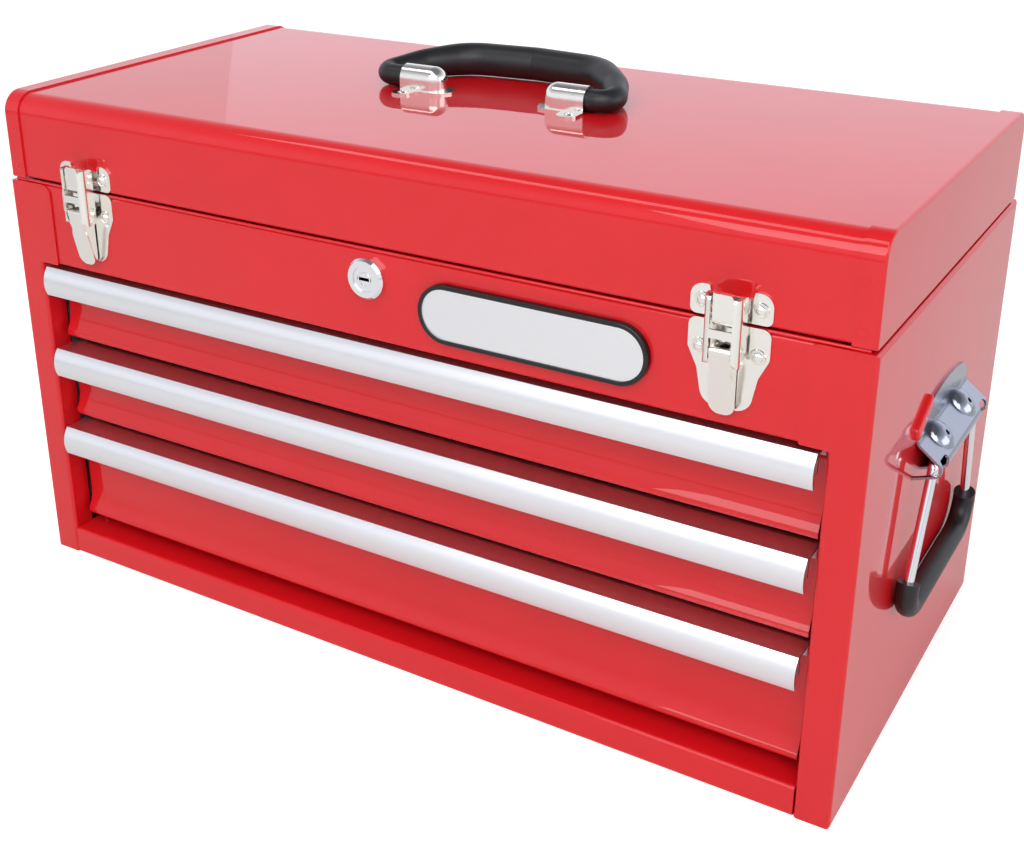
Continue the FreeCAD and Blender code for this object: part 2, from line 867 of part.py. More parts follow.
def latch_lever():
    # A pressed channel that tapers to the tip, under a face that widens below the draw frame
    pivot = lever_pivot()
    top = pivot.z + lever_top_rise
    tip = pivot.z - lever_tip_drop
    top_y = front - lever_top_out
    tip_y = front - lever_tip_out
    heel_y = latch_base_front() - lever_foot_gap
    half = lever_half_width
    wide = lever_wide_half
    wall = lever_plate
    side = outline([(top_y, top), (tip_y, tip), (heel_y, tip), (heel_y, top)],
                   [wall + bend, bend, bend, lever_heel], on_yz(-half))
    solid = side.extrude(Vec(2 * half, 0, 0))
    slope_share = (tip_y - top_y) / (top - tip)
    lower = tip + 2 * wall
    inner = outline([(top_y + wall, top - wall), (top_y + wall + slope_share * (top - wall - lower), lower),
                     (heel_y + overrun, lower), (heel_y + overrun, top - wall)],
                    [bend, 0, 0, 0], on_yz(wall - half))
    solid = solid.cut(inner.extrude(Vec(2 * (half - wall), 0, 0)))

    def trimmed(shape, points, radii):
        face = outline(points, radii, on_xz(top_y - overrun))
        return shape.common(face.extrude(Vec(0, heel_y - top_y + 2 * overrun, 0)))

    round_tip = half - bend / 2
    solid = trimmed(solid, [(-half, top + overrun), (-half, tip), (half, tip), (half, top + overrun)],
                    [0, round_tip, round_tip, 0])
    strip = outline([(top_y, top), (tip_y, tip), (tip_y + wall, tip), (top_y + wall, top)], 0, on_yz(-wide))
    neck = pivot.z - lever_neck_drop
    broad = pivot.z - lever_wide_drop
    strip = trimmed(strip.extrude(Vec(2 * wide, 0, 0)),
                    [(-half, neck), (-wide, broad), (-wide, tip), (wide, tip), (wide, broad), (half, neck)],
                    [0, waist_bend, lever_tip_corner, lever_tip_corner, waist_bend, 0])
    reach = Vec(half + overrun, 0, 0)
    pivot_bore = rod(pivot - reach, pivot + reach, lever_pivot_radius + pin_gap)
    pin = bail_pivot()
    pin_bore = rod(pin - reach, pin + reach, bail_pin_radius)
    roof = block(wall - half, half - wall, pivot.y - lug_tip_radius - side_gap, heel_y + overrun,
                 pivot.z, top + overrun)
    return fused(solid, strip).cut(roof).cut(pivot_bore).cut(pin_bore)


def bail_pins():
    # A short rivet through each flange of the lever
    pin = bail_pivot()
    inner = Vec(lever_half_width - lever_plate, 0, 0)
    outer = Vec(bail_leg_outside + bail_pin_proud, 0, 0)
    return [rod(pin + inner, pin + outer, bail_pin_radius), rod(pin - inner, pin - outer, bail_pin_radius)]


def latch_bail():
    # The stamped draw frame: two legs bent round from the front, a bridge, and the bar in the hook
    pin = bail_pivot()
    low = body_height - bail_foot_drop
    high = body_height + bail_top_rise
    y0 = front - bail_front_out
    y1 = y0 + bail_leg_depth
    wall = latch_plate
    section = folded([(bail_leg_inside, y0), (bail_leg_outside, y0), (bail_leg_outside, y1)],
                     wall, bail_bend, on_xy(low))
    leg = section.extrude(Vec(0, 0, high - low))
    side = outline([(y0, low), (y1, low), (y1, high), (y0, high)],
                   [bail_foot_corner, bail_heel_corner, bail_top_corner, bail_top_corner], on_yz(0))
    leg = leg.common(side.extrude(Vec(bail_leg_outside, 0, 0)))
    bridge_half = bail_leg_outside - bail_bend - wall
    bridge_low = body_height - bail_bridge_drop
    bridge = block(-bridge_half, bridge_half, y0, y0 + wall, bridge_low, bridge_low + bail_bridge_height)
    bar_z = lid_bottom + keeper_rise + bail_bar_radius + side_gap + latch_plate - sheet
    bar_y = front - bail_bar_out
    bar = rod(Vec(-bail_leg_outside, bar_y, bar_z), Vec(bail_leg_outside, bar_y, bar_z), bail_bar_radius)
    frame = leg.fuse([mirrored(leg), bridge, bar])
    reach = Vec(bail_leg_outside + overrun, 0, 0)
    return frame.removeSplitter().cut(rod(pin - reach, pin + reach, bail_pin_radius + pin_gap))


def latch_keeper():
    # The eared plate on the lid with a hook folded up out of its lower edge
    z0 = lid_bottom + keeper_rise
    z1 = z0 + keeper_height
    y = lid_front - latch_plate
    dip = z1 - keeper_dip
    half = latch_half_width
    dip_top = keeper_dip_half + keeper_dip_slope
    right = [(half, z0), (half, z1), (dip_top, z1), (keeper_dip_half, dip)]
    left = [(-u, v) for u, v in right[::-1]]
    radii = [keeper_foot_corner, keeper_corner, bend, bend]
    plate = outline(right + left, radii + radii[::-1], on_xz(y)).extrude(Vec(0, latch_plate, 0))
    hook_y = y - hook_reach
    hook_bottom = z0 - sheet
    hook_top = hook_bottom + hook_height
    hook = folded([(lid_front, dip), (lid_front, hook_bottom), (hook_y, hook_bottom),
                   (hook_y, hook_top)][::-1],
                  latch_plate, hook_bend, on_yz(-hook_half_width))
    hook = hook.extrude(Vec(2 * hook_half_width, 0, 0))
    rounded = outline([(-hook_half_width, hook_bottom), (hook_half_width, hook_bottom),
                       (hook_half_width, hook_top), (-hook_half_width, hook_top)],
                      [bend, bend, hook_corner, hook_corner], on_xz(hook_y))
    hook = hook.common(rounded.extrude(Vec(0, hook_reach + latch_plate, 0)))
    return fused(plate, hook)


# Lock


def lock_level():
    return body_height - lock_drop


def lock_axis(y):
    return Vec(0, y, lock_level())


def lock_housing():
    # Turned bezel and barrel with a bore for the plug
    y = panel_front
    z = lock_level()
    r = lock_bezel_radius
    face = y - lock_bezel_height
    barrel_end = y + lock_barrel_length
    hole = lock_plug_radius + pin_gap
    section = outline([(hole, face), (r - lock_bezel_bevel, face), (r, face + lock_bezel_bevel), (r, y),
                       (lock_barrel_radius, y), (lock_barrel_radius, barrel_end), (hole, barrel_end)],
                      0, on_xy(z))
    return section.revolve(lock_axis(y), Vec(0, 1, 0), 360)


def lock_nut():
    y = panel_front + sheet
    z = lock_level()
    corner = lock_nut_across / math.sqrt(3)
    turns = [math.radians(60 * i) for i in range(6)]
    hexagon = outline([(corner * math.cos(a), z + corner * math.sin(a)) for a in turns], 0, on_xz(y))
    nut = hexagon.extrude(Vec(0, lock_nut_thickness, 0))
    return nut.cut(rod(lock_axis(y - overrun), lock_axis(y + overrun), lock_barrel_radius))


def cam_start():
    return panel_front + lock_barrel_length + side_gap


def lock_plug():
    # The core that the key turns, with its keyway lying level
    face = panel_front - lock_bezel_height + lock_plug_recess
    z = lock_level()
    core = rod(lock_axis(face), lock_axis(cam_start()), lock_plug_radius)
    half = keyway_length / 2
    slot = block(-half, half, face - overrun, face + keyway_depth,
                 z - keyway_width / 2, z + keyway_width / 2)
    return core.cut(slot)


def lock_cam():
    # The cam points sideways when unlocked; its finger then points up
    y = cam_start()
    z = lock_level()
    w = cam_half_width
    points = [(0, -w), (cam_length, -w), (cam_length, cam_finger),
              (cam_length - cam_finger_height, cam_finger), (cam_length - cam_finger_height, w), (0, w)]
    radii = [0, w / 2, bend, bend, bend, 0]
    plate = outline([(u, z + v) for u, v in points], radii, on_xz(y)).extrude(Vec(0, cam_sheet, 0))
    hub = rod(lock_axis(y), lock_axis(y + cam_sheet), cam_hub_radius)
    return fused(hub, plate)


def lock_catch():
    # The windowed tongue under the lid that the cam's finger enters when it is turned up
    x1 = -catch_offset
    x0 = x1 - catch_sheet
    z0 = body_height + catch_drop
    window = z0 + catch_bar
    z1 = window + catch_window + catch_side
    cam_middle = cam_start() + cam_sheet / 2
    y0 = lid_front + sheet
    window_half = catch_window_depth / 2
    y1 = cam_middle + window_half + catch_side
    tongue = outline([(y0 + lid_hem, z0), (y1, z0), (y1, z1), (y0, z1), (y0, lid_bottom + 2 * sheet),
                      (y0 + lid_hem, lid_bottom + 2 * sheet)], [0, bend, catch_side, 0, 0, 0], on_yz(x0))
    tongue = tongue.extrude(Vec(catch_sheet, 0, 0))
    opening = block(x0 - overrun, x1 + overrun, cam_middle - window_half, cam_middle + window_half,
                    window, window + catch_window)
    foot = block(x0 - 2 * lid_hem, x1, y0, y0 + catch_sheet, lid_bottom + 2 * sheet, z1)
    return fused(tongue.cut(opening), foot)


# Blank name plate


def obround(length, height, y, thickness):
    x = (badge_start + badge_end) / 2
    z = (opening_top + body_height) / 2
    half = length / 2
    r = height / 2
    face = outline([(x - half, z - r), (x + half, z - r), (x + half, z + r), (x - half, z + r)],
                   r - hair, on_xz(y))
    return face.extrude(Vec(0, thickness, 0))


def badge_frame():
    y = panel_front - badge_thickness
    length = badge_end - badge_start
    body = obround(length, badge_height, y, badge_thickness)
    body = body.makeFillet(badge_bevel, edges_where(body, lambda box: box.YMax < y + hair))
    recess = obround(length - 2 * badge_rim, badge_height - 2 * badge_rim, y - overrun,
                     overrun + badge_inset + sheet)
    return body.cut(recess)


def badge_face():
    y = panel_front - badge_thickness + badge_inset
    trim = 2 * badge_rim + 2 * clip_gap
    return obround(badge_end - badge_start - trim, badge_height - trim, y, sheet)


# Top handle


def handle_axis():
    return Vec(0, handle_axis_back, lid_top + handle_axis_rise)


def saddle_dome():
    # Centre of the half ball that closes the saddle's inner end
    return saddle_mouth - saddle_length + handle_arm_radius + side_gap + saddle_wall


def handle_saddle():
    # A pressed strap over the handle's arm: half round, domed at its inner end, with eared feet
    axis = handle_axis()
    outer_r = handle_arm_radius + side_gap + saddle_wall
    inner_r = handle_arm_radius + side_gap
    dome_x = saddle_dome()

    def hood(r, mouth):
        tube = rod(Vec(dome_x, axis.y, axis.z), Vec(mouth, axis.y, axis.z), r)
        skirt = block(dome_x, mouth, axis.y - r, axis.y + r, lid_top, axis.z)
        dome = Part.makeSphere(r, Vec(dome_x, axis.y, axis.z))
        foot = Part.makeCylinder(r, handle_axis_rise, Vec(dome_x, axis.y, lid_top))
        whole = tube.fuse([skirt, dome, foot])
        return whole.common(block(dome_x - 2 * r, mouth, axis.y - 2 * r, axis.y + 2 * r,
                                  lid_top, axis.z + 2 * r))

    ear_start = saddle_mouth - saddle_ear_length
    toe = saddle_mouth - saddle_length - saddle_toe
    slope = saddle_wall
    half = [(toe, 0), (toe + saddle_corner, saddle_foot_half),
            (ear_start - slope, saddle_foot_half), (ear_start, saddle_ear_half),
            (saddle_mouth, saddle_ear_half)]
    points = half + [(u, -v) for u, v in half[:0:-1]]
    radii = [saddle_corner, saddle_corner, slope, saddle_corner, saddle_corner,
             saddle_corner, saddle_corner, slope, saddle_corner]
    feet = outline([(u, axis.y + v) for u, v in points], radii, on_xy(lid_top))
    feet = feet.extrude(Vec(0, 0, saddle_wall))
    shell = fused(feet, hood(outer_r, saddle_mouth))
    return shell.cut(hood(inner_r, saddle_mouth + overrun))


def top_handle():
    # One soft moulding over a bent rod, thin in the saddles and full at the grip
    axis = handle_axis()
    waist_z = lid_top + handle_waist_rise
    grip_z = lid_top + handle_grip_rise
    grip_y = axis.y + handle_reach
    start = Vec(saddle_dome() + abs(handle_play) + handle_end_gap, axis.y, axis.z)
    arm_end = start + Vec(handle_arm_length, 0, 0)
    arm = rod(start, arm_end, handle_arm_radius)
    points = [arm_end, Vec(handle_span, axis.y, axis.z),
              Vec(handle_waist, axis.y + handle_waist_back, waist_z),
              Vec(handle_shoulder, grip_y - handle_bow, grip_z), Vec(0, grip_y, grip_z)]
    radii = [0, handle_curl_bend, handle_waist_bend, handle_shoulder_bend, 0]
    line = Part.Wire(path_edges(points, radii, False))
    samples = line.discretize(Number=handle_rings)
    rings = []
    for i, here in enumerate(samples):
        along_share = i / (handle_rings - 1)
        grow_share = min(1, max(0, (along_share - arm_share) / (grip_share - arm_share)))
        ease_share = grow_share * grow_share * (3 - 2 * grow_share)
        radius = handle_arm_radius + (handle_grip_radius - handle_arm_radius) * ease_share
        direction = samples[min(i + 1, handle_rings - 1)] - samples[max(i - 1, 0)]
        if i in (0, handle_rings - 1):
            direction = Vec(1 if i == 0 else -1, 0, 0)
        rings.append(Part.Wire(Part.Circle(here, direction, radius).toShape()))
    half = fused(Part.makeLoft(rings, True), arm)
    return fused(half, mirrored(half))


# Side handles


def side_bracket():
    # A pressed plate whose lower edge slopes out round the ring's pivot and curls back to the wall
    wall = half_width
    face = wall + bracket_sheet
    out = wall + bracket_out
    top = ring_height + bracket_rise
    root = ring_height - bracket_root_drop
    section = folded([(wall, root), (out, ring_height - bracket_nose_drop),
                      (out, ring_height + bracket_nose_rise), (face, ring_height + bracket_slope_rise),
                      (face, top)],
                     bracket_sheet, [bracket_bend, bracket_bend, bracket_valley_bend],
                     on_xz(-bracket_half_length))
    strip = section.extrude(Vec(0, 2 * bracket_half_length, 0))
    shoulder = ring_height + bracket_shoulder_rise
    arch_foot = top - bracket_arch
    mid_y = (bracket_half_length + bracket_top_half) / 2 + bracket_corner_bulge
    mid_z = (shoulder + arch_foot) / 2 + bracket_corner_bulge
    arch = traced((-bracket_half_length, root - overrun),
                  [(-bracket_half_length, shoulder),
                   ((-mid_y, mid_z), (-bracket_top_half, arch_foot)),
                   ((0, top), (bracket_top_half, arch_foot)),
                   ((mid_y, mid_z), (bracket_half_length, shoulder)),
                   (bracket_half_length, root - overrun)],
                  on_yz(wall))
    plate = strip.common(arch.extrude(Vec(bracket_out + overrun, 0, 0)))
    slot_top = ring_height + ring_slot_rise
    slot = outline([(ring_slot_inner, root - overrun), (ring_slot_outer, root - overrun),
                    (ring_slot_outer, slot_top), (ring_slot_inner, slot_top)],
                   [0, 0, ring_slot_corner, ring_slot_corner], on_yz(wall - overrun))
    slot = slot.extrude(Vec(bracket_out + 2 * overrun, 0, 0))
    return plate.cut(slot).cut(slot.mirror(Vec(0, 0, 0), Vec(0, 1, 0)))


def ring_path():
    # The ring hangs with its grip nearly at the wall, its legs spread downward
    x = half_width + ring_out
    low_x = x - ring_lean
    upper = ring_top_half
    w = ring_low_half
    low = ring_height - ring_drop
    points = [Vec(x, -ring_end_gap, ring_height), Vec(x, -upper, ring_height), Vec(low_x, -w, low),
              Vec(low_x, w, low), Vec(x, upper, ring_height), Vec(x, ring_end_gap, ring_height)]
    return points, [0, ring_elbow, ring_corner, ring_corner, ring_elbow, 0]


def side_ring():
    points, radii = ring_path()
    return swept_rod(points, radii, ring_radius)


def side_grip():
    # The moulded sleeve over the ring's lower bar and part of its legs
    x = half_width + ring_out - ring_lean
    w = ring_low_half
    low = ring_height - ring_drop

    def sleeve(rise, radius):
        up_share = rise / ring_drop
        end = w - (ring_low_half - ring_top_half) * up_share
        end_x = x + ring_lean * up_share
        points = [Vec(end_x, -end, low + rise), Vec(x, -w, low), Vec(x, w, low), Vec(end_x, end, low + rise)]
        return swept_rod(points, [0, ring_corner, ring_corner, 0], radius)

    return sleeve(grip_leg_rise, grip_radius).cut(sleeve(grip_leg_rise + overrun, ring_radius))


def save_pair(name, shape):
    save(name + "_right", shape)
    save(name + "_left", mirrored(shape))


def at_latches(shape):
    # A latch part in its right and its left place
    offset = half_width - latch_inset
    return moved(shape, fittings_shift + offset, 0, 0), moved(shape, fittings_shift - offset, 0, 0)


def save_latch(name, *shapes):
    places = [at_latches(shape) for shape in shapes]
    save(name + "_right", *[right for right, left in places])
    save(name + "_left", *[left for right, left in places])


def save_shifted(name, shape, shift):
    save(name, moved(shape, shift, 0, 0))


save_pair("side_panel", side_panel())
save("back_panel", back_panel())
save("floor_panel", floor_panel())
save("bottom_rail", bottom_rail())
save("upper_front_panel", upper_front_panel())
save("well_floor", well_floor())
save("slide_posts", *slide_posts())
drawer_names = ["drawer_bottom", "drawer_middle", "drawer_top"]
for index, name in enumerate(drawer_names):
    save(name + "_channels", *slide_channel(index))
    save(name + "_runners", *drawer_runner(index))
    save(name + "_ball_cages", *ball_cage(index))
    save(name + "_tray", drawer_tray(index))
    save(name + "_front", drawer_front(index))
    save(name + "_pull", drawer_pull(index))
save("lid_cover", lid_cover())
save_pair("lid_end_cap", lid_end_cap())
save("hinge_leaf_body", hinge_leaf_body())
save("hinge_leaf_lid", hinge_leaf_lid())
save("hinge_pin", hinge_pin())
save_latch("latch_base", latch_base())
save("latch_lever_pins", *at_latches(lever_pin()))
save_latch("latch_lever", latch_lever())
save_latch("latch_bail_pin", *bail_pins())
save_latch("latch_bail", latch_bail())
save_latch("latch_keeper", latch_keeper())
save_shifted("lock_housing", lock_housing(), fittings_shift)
save_shifted("lock_nut", lock_nut(), fittings_shift)
save_shifted("lock_plug", lock_plug(), fittings_shift)
save_shifted("lock_cam", lock_cam(), fittings_shift)
save_shifted("lock_catch", lock_catch(), fittings_shift)
save("badge_frame", badge_frame())
save("badge_face", badge_face())
save_shifted("handle_saddle_right", handle_saddle(), saddle_shift)
save_shifted("handle_saddle_left", mirrored(handle_saddle()), saddle_shift)
save_shifted("top_handle", top_handle(), saddle_shift + handle_play)
save_pair("side_bracket", side_bracket())
save_pair("side_ring", side_ring())
save_pair("side_grip", side_grip())
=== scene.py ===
import math

import bmesh
import bpy
from mathutils import Matrix, Vector


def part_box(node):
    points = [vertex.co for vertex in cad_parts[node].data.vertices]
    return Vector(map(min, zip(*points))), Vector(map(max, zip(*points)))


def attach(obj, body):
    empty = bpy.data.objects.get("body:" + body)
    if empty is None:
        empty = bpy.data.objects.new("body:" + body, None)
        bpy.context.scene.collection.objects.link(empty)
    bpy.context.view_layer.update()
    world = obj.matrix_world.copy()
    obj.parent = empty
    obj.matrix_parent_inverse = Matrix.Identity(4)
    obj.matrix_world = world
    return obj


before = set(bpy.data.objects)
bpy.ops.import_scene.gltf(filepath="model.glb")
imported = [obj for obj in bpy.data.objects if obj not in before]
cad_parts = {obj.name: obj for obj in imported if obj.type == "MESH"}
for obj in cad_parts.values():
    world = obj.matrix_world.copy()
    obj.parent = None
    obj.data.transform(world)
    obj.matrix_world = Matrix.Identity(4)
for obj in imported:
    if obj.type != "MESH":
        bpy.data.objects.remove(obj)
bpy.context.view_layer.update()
mm = 0.001
print("frame loaded:", len(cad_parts), "nodes")


def linearOf(hexText):
    # one sRGB hex value turned to the linear colour that the shaders use
    parts = [int(hexText[k:k + 2], 16) / 255 for k in (1, 3, 5)]
    lin = [p / 12.92 if p <= 0.04045 else ((p + 0.055) / 1.055) ** 2.4 for p in parts]
    return (*lin, 1.0)


def addNode(tree, kind, settings=None, links=None):
    # adds a node, sets its sockets or its own values, and links sockets from others
    node = tree.nodes.new(kind)
    for name, value in (settings or {}).items():
        if name in node.inputs:
            node.inputs[name].default_value = value
        else:
            setattr(node, name, value)
    for name, source in (links or {}).items():
        tree.links.new(source, node.inputs[name])
    return node


def newMaterial(name):
    # an empty material with its output, its object coordinates and its shader
    made = bpy.data.materials.new(name)
    made.use_nodes = True
    tree = made.node_tree
    tree.nodes.clear()
    shader = addNode(tree, "ShaderNodeBsdfPrincipled")
    addNode(tree, "ShaderNodeOutputMaterial", links={"Surface": shader.outputs["BSDF"]})
    place = addNode(tree, "ShaderNodeTexCoord").outputs["Object"]
    return made, tree, shader, place


def perMetre(millimetres):
    # noise scale for features of that size
    return 1000.0 / millimetres


# camera, matched to the photograph's corner points
cameraSet = {
    "place": (0.3977, -0.6714, 0.4803),
    "turnDegrees": (67.8, 0.4, 31.5),
    "focalPx": 1442.5,
    "centrePx": (474.8, 323.9),
    "framePx": (1024, 855),
    "sensorMm": 36.0,
    "clip": (0.01, 60),
}


def makeCamera(s):
    data = bpy.data.cameras.new("camera")
    camera = bpy.data.objects.new("camera", data)
    bpy.context.scene.collection.objects.link(camera)
    wide, high = s["framePx"]
    data.sensor_width = s["sensorMm"]
    data.lens = s["focalPx"] * s["sensorMm"] / wide
    data.shift_x = (wide / 2 - s["centrePx"][0]) / wide
    data.shift_y = (s["centrePx"][1] - high / 2) / wide
    data.clip_start, data.clip_end = s["clip"]
    camera.location = s["place"]
    camera.rotation_euler = [math.radians(t) for t in s["turnDegrees"]]
    bpy.context.scene.camera = camera


makeCamera(cameraSet)
print("camera placed")

# enamel: stoved gloss paint sprayed on pressed sheet steel, so it is smooth and mirror-like
# with faint orange peel
enamelSet = {
    "colour": "#DE141E",
    "deep": "#D2101A",
    "blotchMm": 45.0,
    "peelMm": 1.6,  # real peel is near 0.5 mm, drawn coarser so that it shows
    "sheetWaveMm": 60.0,
    "peel": 0.008,
    "peelDeep": 0.2,
    "sheetWave": 0.04,
    "sheetWaveDeep": 1.0,
    "pigmentSpecular": 0.12,
    "roughness": 0.5,
    "coatRoughness": 0.02,
    "coatIor": 1.48,
}


def makeEnamel(s):
    made, tree, shader, place = newMaterial("stovedRedEnamel")
    blotch = addNode(tree, "ShaderNodeTexNoise",
                     {"Scale": perMetre(s["blotchMm"]), "Detail": 2.0}, {"Vector": place})
    colour = addNode(tree, "ShaderNodeMix", {"data_type": "RGBA"}, {"Factor": blotch.outputs["Fac"]})
    colour.inputs[6].default_value = linearOf(s["colour"])
    colour.inputs[7].default_value = linearOf(s["deep"])
    tree.links.new(colour.outputs[2], shader.inputs["Base Color"])
    wave = addNode(tree, "ShaderNodeTexNoise",
                   {"Scale": perMetre(s["sheetWaveMm"]), "Detail": 1.0}, {"Vector": place})
    peel = addNode(tree, "ShaderNodeTexNoise",
                   {"Scale": perMetre(s["peelMm"]), "Detail": 1.0}, {"Vector": place})
    bent = addNode(tree, "ShaderNodeBump",
                   {"Strength": s["sheetWave"], "Distance": s["sheetWaveDeep"] * mm},
                   {"Height": wave.outputs["Fac"]})
    skin = addNode(tree, "ShaderNodeBump", {"Strength": s["peel"], "Distance": s["peelDeep"] * mm},
                   {"Height": peel.outputs["Fac"], "Normal": bent.outputs["Normal"]})
    tree.links.new(skin.outputs["Normal"], shader.inputs["Normal"])
    tree.links.new(skin.outputs["Normal"], shader.inputs["Coat Normal"])
    shader.inputs["Roughness"].default_value = s["roughness"]
    shader.inputs["Specular IOR Level"].default_value = s["pigmentSpecular"]
    shader.inputs["Coat Weight"].default_value = 1.0
    shader.inputs["Coat Roughness"].default_value = s["coatRoughness"]
    shader.inputs["Coat IOR"].default_value = s["coatIor"]
    return made


enamel = makeEnamel(enamelSet)

# bright nickel: electroplated over stamped steel, which leaves the press marks showing under a mirror
nickelSet = {
    "name": "brightNickelPlate",
    "colour": "#F3F0EA",
    "smearMm": 6.0,
    "smearRange": (0.08, 0.24),
    "wave": 0.3,
    "waveMm": 5.0,
}

# chrome: bluer and glossier than nickel, on drawn wire and the lock's face
chromeSet = {
    "name": "polishedChromePlate",
    "colour": "#EFF0F4",
    "smearMm": 9.0,
    "smearRange": (0.03, 0.12),
    "wave": 0.05,
    "waveMm": 6.0,
}

# pressed side brackets: plated metal whose darker grey-blue colour is a painted reflection
# of dim grey surroundings, with smears and waves that make its mirror uneven
bracketGreyReflectionSet = {
    "name": "greyPaintedReflectionPlate",
    "colour": "#A4A9B7",
    "smearMm": 8.0,
    "smearRange": (0.1, 0.28),
    "wave": 0.35,
    "waveMm": 11.0,
}

# zinc: barrel plated slides, hinge and nut, duller and slightly grey blue, with cloudy patches
zincSet = {
    "name": "barrelZincPlate",
    "colour": "#B9BDC2",
    "smearMm": 4.0,
    "smearRange": (0.26, 0.44),
    "wave": 0.2,
    "waveMm": 1.2,
}

plateWaveDeep = 0.2  # millimetres, the same under every plating


def makePlate(s):
    made, tree, shader, place = newMaterial(s["name"])
    smear = addNode(tree, "ShaderNodeTexNoise",
                    {"Scale": perMetre(s["smearMm"]), "Detail": 4.0}, {"Vector": place})
    rough = addNode(tree, "ShaderNodeMapRange",
                    {"To Min": s["smearRange"][0], "To Max": s["smearRange"][1]},
                    {"Value": smear.outputs["Fac"]})
    tree.links.new(rough.outputs["Result"], shader.inputs["Roughness"])
    wave = addNode(tree, "ShaderNodeTexNoise",
                   {"Scale": perMetre(s["waveMm"]), "Detail": 2.0}, {"Vector": place})
    bent = addNode(tree, "ShaderNodeBump",
                   {"Strength": s["wave"], "Distance": plateWaveDeep * mm}, {"Height": wave.outputs["Fac"]})
    tree.links.new(bent.outputs["Normal"], shader.inputs["Normal"])
    shader.inputs["Base Color"].default_value = linearOf(s["colour"])
    shader.inputs["Metallic"].default_value = 1.0
    return made


nickel = makePlate(nickelSet)
chrome = makePlate(chromeSet)
zinc = makePlate(zincSet)
bracketPaintedReflectionMetal = makePlate(bracketGreyReflectionSet)

# aluminium: extruded along the drawer's width and satin anodised, so fine die lines run lengthwise
aluminiumSet = {
    "colour": "#F1F2F5",
    "lineMm": 0.5,
    "roughnessRange": (0.27, 0.36),
    "lines": 0.12,
    "linesDeep": 0.1,
}


def makeAluminium(s):
    made, tree, shader, place = newMaterial("satinAnodisedAluminium")
    along = addNode(tree, "ShaderNodeMapping", {"Scale": (0.01, 1.0, 1.0)}, {"Vector": place})
    lines = addNode(tree, "ShaderNodeTexNoise",
                    {"Scale": perMetre(s["lineMm"]), "Detail": 3.0}, {"Vector": along.outputs["Vector"]})
    rough = addNode(tree, "ShaderNodeMapRange",
                    {"To Min": s["roughnessRange"][0], "To Max": s["roughnessRange"][1]},
                    {"Value": lines.outputs["Fac"]})
    tree.links.new(rough.outputs["Result"], shader.inputs["Roughness"])
    bent = addNode(tree, "ShaderNodeBump",
                   {"Strength": s["lines"], "Distance": s["linesDeep"] * mm},
                   {"Height": lines.outputs["Fac"]})
    tree.links.new(bent.outputs["Normal"], shader.inputs["Normal"])
    shader.inputs["Base Color"].default_value = linearOf(s["colour"])
    shader.inputs["Metallic"].default_value = 1.0
    return made


aluminium = makeAluminium(aluminiumSet)

# vinyl: plasticised PVC dipped or moulded over steel, soft sheen with a fine pebbled skin
vinylSet = {
    "colour": "#101113",
    "pale": "#1A1B1E",
    "grainMm": 0.7,
    "mottleMm": 12.0,
    "grain": 0.12,
    "grainDeep": 0.2,
    "roughnessRange": (0.36, 0.5),
}


def makeVinyl(s):
    made, tree, shader, place = newMaterial("softBlackVinyl")
    mottle = addNode(tree, "ShaderNodeTexNoise",
                     {"Scale": perMetre(s["mottleMm"]), "Detail": 3.0}, {"Vector": place})
    grain = addNode(tree, "ShaderNodeTexNoise",
                    {"Scale": perMetre(s["grainMm"]), "Detail": 2.0}, {"Vector": place})
    colour = addNode(tree, "ShaderNodeMix", {"data_type": "RGBA"}, {"Factor": mottle.outputs["Fac"]})
    colour.inputs[6].default_value = linearOf(s["colour"])
    colour.inputs[7].default_value = linearOf(s["pale"])
    tree.links.new(colour.outputs[2], shader.inputs["Base Color"])
    rough = addNode(tree, "ShaderNodeMapRange",
                    {"To Min": s["roughnessRange"][0], "To Max": s["roughnessRange"][1]},
                    {"Value": mottle.outputs["Fac"]})
    tree.links.new(rough.outputs["Result"], shader.inputs["Roughness"])
    bent = addNode(tree, "ShaderNodeBump",
                   {"Strength": s["grain"], "Distance": s["grainDeep"] * mm},
                   {"Height": grain.outputs["Fac"]})
    tree.links.new(bent.outputs["Normal"], shader.inputs["Normal"])
    return made


vinyl = makeVinyl(vinylSet)

# ABS: injection moulded against a polished tool, so the plate's rim is a deep gloss black
absSet = {
    "colour": "#08080A",
    "pale": "#101012",
    "flowMm": 14.0,
    "roughnessRange": (0.12, 0.2),
}


def makeAbs(s):
    made, tree, shader, place = newMaterial("glossBlackAbs")
    flow = addNode(tree, "ShaderNodeTexNoise",
                   {"Scale": perMetre(s["flowMm"]), "Detail": 2.0}, {"Vector": place})
    colour = addNode(tree, "ShaderNodeMix", {"data_type": "RGBA"}, {"Factor": flow.outputs["Fac"]})
    colour.inputs[6].default_value = linearOf(s["colour"])
    colour.inputs[7].default_value = linearOf(s["pale"])
    tree.links.new(colour.outputs[2], shader.inputs["Base Color"])
    rough = addNode(tree, "ShaderNodeMapRange",
                    {"To Min": s["roughnessRange"][0], "To Max": s["roughnessRange"][1]},
                    {"Value": flow.outputs["Fac"]})
    tree.links.new(rough.outputs["Result"], shader.inputs["Roughness"])
    return made


glossAbs = makeAbs(absSet)
print("materials made")

# which finish each part of the frame takes, by the start of its node name
finishOf = {
    "side_panel": enamel,
    "back_panel": enamel,
    "floor_panel": enamel,
    "bottom_rail": enamel,
    "upper_front_panel": enamel,
    "well_floor": enamel,
    "lid_": enamel,
    "slide_posts": zinc,
    "hinge_": zinc,
    "latch_": nickel,
    "lock_": chrome,
    "badge_frame": glossAbs,
    "badge_face": aluminium,
    "handle_saddle": nickel,
    "top_handle": vinyl,
    # the side brackets' grey-blue colour is a painted reflection of dim surroundings
    "side_bracket": bracketPaintedReflectionMetal,
    "side_ring": chrome,
    "side_grip": vinyl,
}
drawerFinish = {
    "channels": zinc,
    "runners": zinc,
    "ball_cages": zinc,
    "tray": enamel,
    "front": enamel,
    "pull": aluminium,
}


